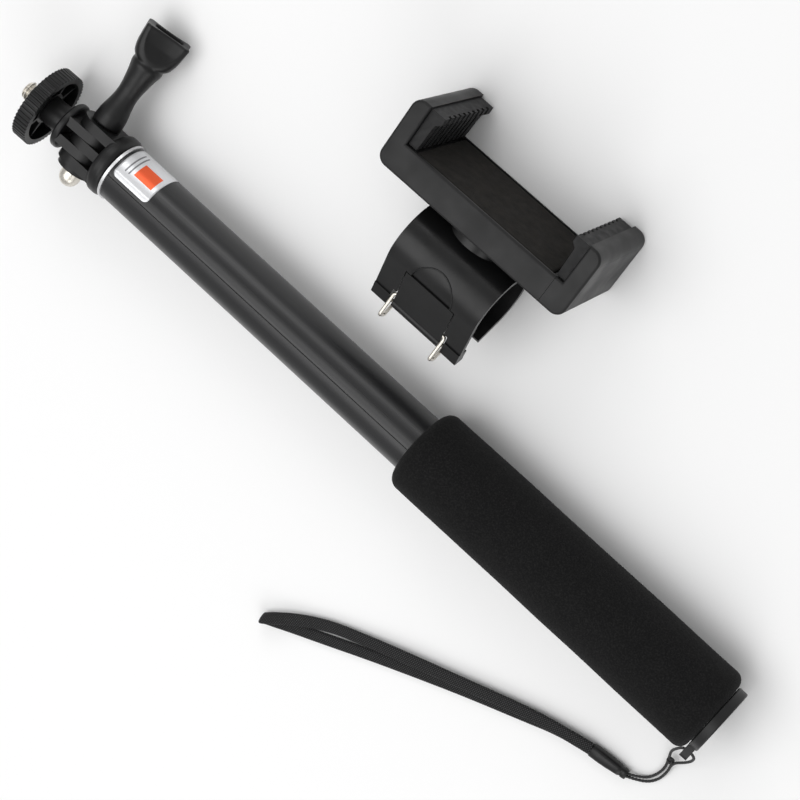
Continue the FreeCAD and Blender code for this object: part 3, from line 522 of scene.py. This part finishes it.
def joiner():
    """The moulded ferrule that grips the strap's two ends: an oval taper with a lip and a narrow neck."""
    start, end = Vector((-222.8, 42.8, 1.9)), Vector((-235.5, 41.0, 1.9))
    along = end - start
    reach = along.length
    ahead = along.normalized()
    side = Vector((0, 0, 1)).cross(ahead).normalized()
    profile = [(0.0, 1.9, 1.5), (0.0, 2.05, 1.72), (0.2, 2.16, 1.84), (3.5, 2.2, 1.86), (6.5, 2.08, 1.82),
               (9.6, 1.82, 1.66), (10.5, 1.72, 1.58), (10.7, 1.5, 1.36), (11.1, 1.5, 1.36), (11.3, 1.66, 1.5),
               (reach - 0.25, 1.6, 1.46), (reach, 1.4, 1.25), (reach, 1.0, 0.9)]
    rings = []
    for x, wide, high in profile:
        ring = []
        for k in range(48):
            a = 2 * math.pi * k / 48
            c, s = math.cos(a), math.sin(a)
            u = math.copysign(abs(c) ** 0.8, c) * wide
            v = math.copysign(abs(s) ** 0.8, s) * high
            ring.append(start + ahead * x + side * u + Vector((0, 0, 1)) * v)
        rings.append(ring)
    made = piece("strap_ferrule", *skin(rings), FLOOR, "handle", "cap_plastic", ["strap_joiner"])
    face_out(made)
    return made


ferrule = joiner()
knot = cord_knot()
twisted_cord("cord_inner", INNER_CORD)
twisted_cord("cord_outer", OUTER_CORD)
braided_strap()


# ---------------------------------------------------------------- foam grip
def foam_grip():
    """A foam sleeve stretched over the tube, with rolled ends and a slightly uneven skin."""
    front, rear, radius, bore, edge = -127.3, -242.2, 14.0, 9.62, 3.4
    profile = [(front - 0.2, bore), (front - 0.06, bore + 0.35)]
    for k in range(13):
        a = math.radians(90 - 7.5 * k)
        profile.append((front - edge + edge * math.sin(a), radius - edge + edge * math.cos(a)))
    count = 300
    inside = front - edge, rear + edge
    profile += [(inside[0] + (inside[1] - inside[0]) * k / count, radius) for k in range(1, count)]
    for k in range(13):
        a = math.radians(7.5 * k)
        profile.append((rear + edge - edge * math.sin(a), radius - edge + edge * math.cos(a)))
    profile += [(rear + 0.06, bore + 0.35), (rear + 0.2, bore), (rear + 20, bore), (front - 20, bore)]
    around = 230
    rings = []
    for x, r in profile:
        ring = []
        for k in range(around):
            a = 2 * math.pi * k / around
            spot = Vector((x, r * math.cos(a), r * math.sin(a)))
            if r > bore + 0.1:
                slow = noise.noise(spot * 0.045)
                fine = noise.noise(spot * 0.9)
                pit = noise.noise(spot * 2.2 + Vector((7, 3, 1)))
                out = 0.16 * slow + 0.035 * fine - 0.05 * max(0.0, pit) - 0.13
                spot = spot + Vector((0, math.cos(a), math.sin(a))) * out
            ring.append(spot)
        rings.append(ring)
    made = piece("foam_sleeve", *skin(rings, closed=True), STICK, "handle", "grip_foam", ["foam_grip"])
    face_out(made)
    return made


foam_grip()


# ---------------------------------------------------------------- label
def tube_label():
    """Foil wrapped part of the way round the tube, with rounded corners."""
    inverse = STICK.inverted()
    local = [inverse @ v.co for v in NODES["label"].data.vertices]
    start, end = min(p.x for p in local), max(p.x for p in local)
    turns = sorted({round(math.degrees(math.atan2(p.z, p.y)) % 360, 2) for p in local})
    gaps = [(b - a, a, b) for a, b in zip(turns, turns[1:])]
    biggest = max(gaps)
    first, last = (turns[0], turns[-1]) if biggest[0] < 90 else (biggest[2], biggest[1] + 360)
    under, over = 9.52, 9.61
    corner, rows = 1.6, []
    arc = math.radians(last - first) * over
    steps = sorted({0.0, arc} | {corner * (1 - math.cos(math.radians(k))) for k in range(0, 91, 10)}
                   | {arc - corner * (1 - math.cos(math.radians(k))) for k in range(0, 91, 10)}
                   | {corner + (arc - 2 * corner) * k / 40 for k in range(41)})
    for s in steps:
        deep = max(0.0, corner - s, corner - (arc - s))
        inset = corner - math.sqrt(max(0.0, corner ** 2 - deep ** 2))
        rows.append((s, start + inset, end - inset))
    across = 24
    points, prints = [], []
    for radius in (over, under):
        for s, low, high in rows:
            a = math.radians(first) + s / over
            for k in range(across + 1):
                x = low + (high - low) * k / across
                points.append((x, radius * math.cos(a), radius * math.sin(a)))
                prints.append(((x - start) / (end - start), s / arc))
    wide, many = across + 1, len(rows)
    faces = []
    for layer in (0, many * wide):
        for i in range(many - 1):
            for k in range(across):
                a = layer + i * wide + k
                face = (a, a + 1, a + 1 + wide, a + wide)
                faces.append(face if layer == 0 else (face[0], face[3], face[2], face[1]))
    rim = [*range(wide), *(i * wide + across for i in range(1, many))]
    rim += [(many - 1) * wide + k for k in range(across - 1, -1, -1)]
    rim += [i * wide for i in range(many - 2, 0, -1)]
    for a, b in zip(rim, rim[1:] + rim[:1]):
        faces.append((a, a + many * wide, b + many * wide, b))
    made = piece("foil_label", points, faces, STICK, "handle", "label_foil", ["label"])
    layer = made.data.uv_layers.new(name="print")
    for loop in made.data.loops:
        layer.data[loop.index].uv = prints[loop.vertex_index]
    face_out(made)
    return made


tube_label()


# ---------------------------------------------------------------- camera stud
def threaded_stud():
    """A 1/4 inch screw: one V-shaped ridge of 1.27 mm pitch, with a chamfered tip."""
    start, tip, crest, pitch, depth = 10.4, 27.3, 3.16, 1.27, 0.62
    around, rings = 48, []
    count = int((tip - start) / 0.09)
    for i in range(count + 1):
        x = start + (tip - start) * i / count
        ring = []
        for k in range(around):
            turn = k / around
            phase = ((x - start) / pitch - turn) % 1
            ridge = min(1.0, max(0.0, 2.6 * abs(phase - 0.5) - 0.12))
            radius = crest - depth * (1 - ridge)
            radius = min(radius, crest - 0.8 + (tip - x)) if x > tip - 0.9 else radius
            ring.append((x, radius * math.cos(2 * math.pi * turn), radius * math.sin(2 * math.pi * turn)))
        rings.append(ring)
    made = piece("stud_thread", *skin(rings), ADAPTER, "adapter", "bright_steel", ["camera_stud"])
    face_out(made)
    return made


threaded_stud()


# ---------------------------------------------------------------- rim of the clamp's thumb scoop
def scoop_rim():
    """A rounded rim along the half round scoop above the lever, on the curved outside of the clamp."""
    clamp = next(m for m in frame["record"]["mounts"] if m["name"] == "tube_clamp")
    axis = np.array(clamp["pos_m"]) / MM
    shell, scoop, lever_edge, thick, lean = 12.07, 7.5, 0.5, 0.24, math.radians(27.2)
    down = np.array((0, math.cos(lean), -math.sin(lean)))
    out = np.array((0, math.sin(lean), math.cos(lean)))
    path = []
    for angle in np.linspace(0.02 * math.pi, 0.98 * math.pi, 70):
        along, slide = scoop * math.cos(angle), lever_edge - scoop * math.sin(angle)
        high = math.sqrt(shell ** 2 - min(slide, 0) ** 2)
        path.append(axis + np.array((along, 0, 0)) + slide * down + high * out)
    round_rim = np.linspace(0, 2 * math.pi, 12, endpoint=False)
    rings = sweep(np.array(path), lambda i: (thick * np.cos(round_rim), thick * np.sin(round_rim)))
    made = piece("scoop_rim", *skin(rings), Matrix.Scale(MM, 4), "clamp", "clamp_plastic", [])
    face_out(made)
    return made


scoop_rim()


# ---------------------------------------------------------------- springs that close the phone jaw
def jaw_spring(name):
    """A compression spring seated against the cradle, drawn at one fixed length; on the real holder the clip
    squeezes it as the jaw opens.
    """
    low, high = (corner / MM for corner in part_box(name))
    wire, pitch, travel = 0.25, 3.3, 28.0
    coil = (high.z - low.z) / 2 - wire
    turns = (high.x - low.x - 2 * wire) / pitch
    angle = np.linspace(0, 2 * math.pi * turns, int(turns * 28))
    path = np.stack([low.x + wire + pitch * angle / (2 * math.pi),
                     (low.y + high.y) / 2 + coil * np.cos(angle),
                     (low.z + high.z) / 2 + coil * np.sin(angle)], axis=1)
    round_wire = np.linspace(0, 2 * math.pi, 10, endpoint=False)
    rings = sweep(path, lambda i: (wire * np.cos(round_wire), wire * np.sin(round_wire)))
    made = piece(name + "_coil", *skin(rings), Matrix.Scale(MM, 4), "holder", SLOTS[name], [name])
    face_out(made)
    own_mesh(made)
    return made


for spring_name in ("spring_a", "spring_b"):
    jaw_spring(spring_name)


# ---------------------------------------------------------------- thumb knob
def thumb_knob():
    """A waisted stem with a collar, opening into a wing with scooped faces and a slot in its end."""
    # distance from the hinge, half width, half thickness, squareness of the section
    profile = [(8.1, 4.75, 4.75, 2), (8.4, 4.95, 4.95, 2), (12.1, 4.7, 4.7, 2), (14.0, 4.35, 4.35, 2),
               (15.9, 3.95, 3.95, 2), (18.0, 3.65, 3.65, 2), (20.0, 3.55, 3.55, 2), (22.5, 3.75, 3.75, 2),
               (26.5, 4.4, 4.4, 2), (28.6, 4.9, 4.85, 2), (29.8, 5.25, 5.1, 2), (30.9, 5.3, 5.15, 2),
               (31.4, 5.0, 4.75, 2), (31.7, 5.1, 4.7, 2.1), (32.3, 5.75, 4.8, 2.5), (33.2, 6.35, 4.8, 2.9),
               (34.8, 6.9, 4.65, 3.3), (36.5, 7.25, 4.4, 3.8), (38.5, 7.5, 4.2, 4.4), (40.5, 7.68, 4.1, 5),
               (42.1, 7.78, 4.08, 5.5)]
    table = np.array(profile)
    stations = np.arange(8.1, 42.15, 0.3)
    columns = [np.interp(stations, table[:, 0], table[:, k]) for k in (1, 2, 3)]
    for _ in range(2):
        columns = [np.concatenate([c[:1], (c[:-2] + 2 * c[1:-1] + c[2:]) / 4, c[-1:]]) for c in columns]
    sections = [(a, *rest) for a, *rest in zip(stations, *columns)]
    sections += [(42.42, 7.7, 4.0, 5.5), (42.58, 7.5, 3.8, 5.5), (42.6, 7.3, 3.6, 5.5), (42.6, 5.3, 2.2, 4.5),
                 (42.5, 5.05, 2.0, 4.5), (42.2, 4.92, 1.92, 4.5), (39.7, 4.75, 1.8, 4.5),
                 (39.5, 4.5, 1.6, 4.5)]
    around, rings = 120, []
    hollow_sections, wing_start, wing_end, scoop_half, scoop_deep, notch_deep = 5, 33.6, 42.6, 5.9, 1.15, 0.75
    for index, (a, wide, thick, square) in enumerate(sections):
        outside = index < len(sections) - hollow_sections
        ring = []
        for k in range(around):
            turn = 2 * math.pi * (k + 0.5) / around
            c, s = math.cos(turn), math.sin(turn)
            x = math.copysign(abs(c) ** (2 / square), c) * wide
            z = math.copysign(abs(s) ** (2 / square), s) * thick
            reach = max(0.0, (a - wing_start) / (wing_end - wing_start))
            if outside and reach > 0:
                half = scoop_half * math.sqrt(1 - (1 - reach) ** 2)
                inside = max(0.0, 1 - (x / max(half, 0.01)) ** 2)
                dip = scoop_deep * min(1.0, 2.2 * reach) * inside ** 0.7
                z -= math.copysign(dip, z) * min(1.0, abs(z) / thick)
                pinch = notch_deep * reach ** 2 * max(0.0, 1 - (z / (0.75 * thick)) ** 2)
                x -= math.copysign(pinch, x) * (abs(x) > 5)
            ring.append((x, -a, z))
        rings.append(ring)
    made = piece("knob_moulding", *skin(rings), KNOB, "knob", "head_plastic", ["thumb_knob"])
    face_out(made)
    return made


thumb_knob()


# ---------------------------------------------------------------- foam bed of the phone holder
def soft_bed():
    """A thin foam sheet with soft edges, lying on the deck between the jaws."""
    low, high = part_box("floor_pad")
    size, centre = (high - low) / MM, (low + high) / 2
    long, thick, wide = size.x, size.y, size.z
    columns, rows = 110, 60
    points, faces = [], []
    for side in (1, -1):
        for i in range(columns + 1):
            for j in range(rows + 1):
                u, v = i / columns * 2 - 1, j / rows * 2 - 1
                x, z = u * long / 2, v * wide / 2
                rim = min(long / 2 - abs(x), wide / 2 - abs(z))
                soft = 1 - (1 - min(1.0, rim / 0.7)) ** 2
                bump = 0.05 * noise.noise(Vector((x * 0.22, z * 0.22, 2)))
                bump += 0.02 * noise.noise(Vector((x, z, 5)))
                height = thick / 2 - 0.33 * (1 - soft) + (bump - 0.06 if side > 0 else 0)
                points.append((x, -side * (height if side > 0 else thick / 2), z))
    wide_row, layer = rows + 1, (columns + 1) * (rows + 1)
    for i in range(columns):
        for j in range(rows):
            a = i * wide_row + j
            faces.append((a, a + wide_row, a + wide_row + 1, a + 1))
            faces.append((layer + a, layer + a + 1, layer + a + wide_row + 1, layer + a + wide_row))
    rim = [*range(rows + 1), *(i * wide_row + rows for i in range(1, columns + 1))]
    rim += [columns * wide_row + j for j in range(rows - 1, -1, -1)]
    rim += [i * wide_row for i in range(columns - 1, 0, -1)]
    for a, b in zip(rim, rim[1:] + rim[:1]):
        faces.append((a, b, b + layer, a + layer))
    place = Matrix.Translation(centre) @ Matrix.Scale(MM, 4)
    made = piece("bed_sheet", points, faces, place, "holder", "bed_foam", ["floor_pad"])
    face_out(made)
    return made


soft_bed()
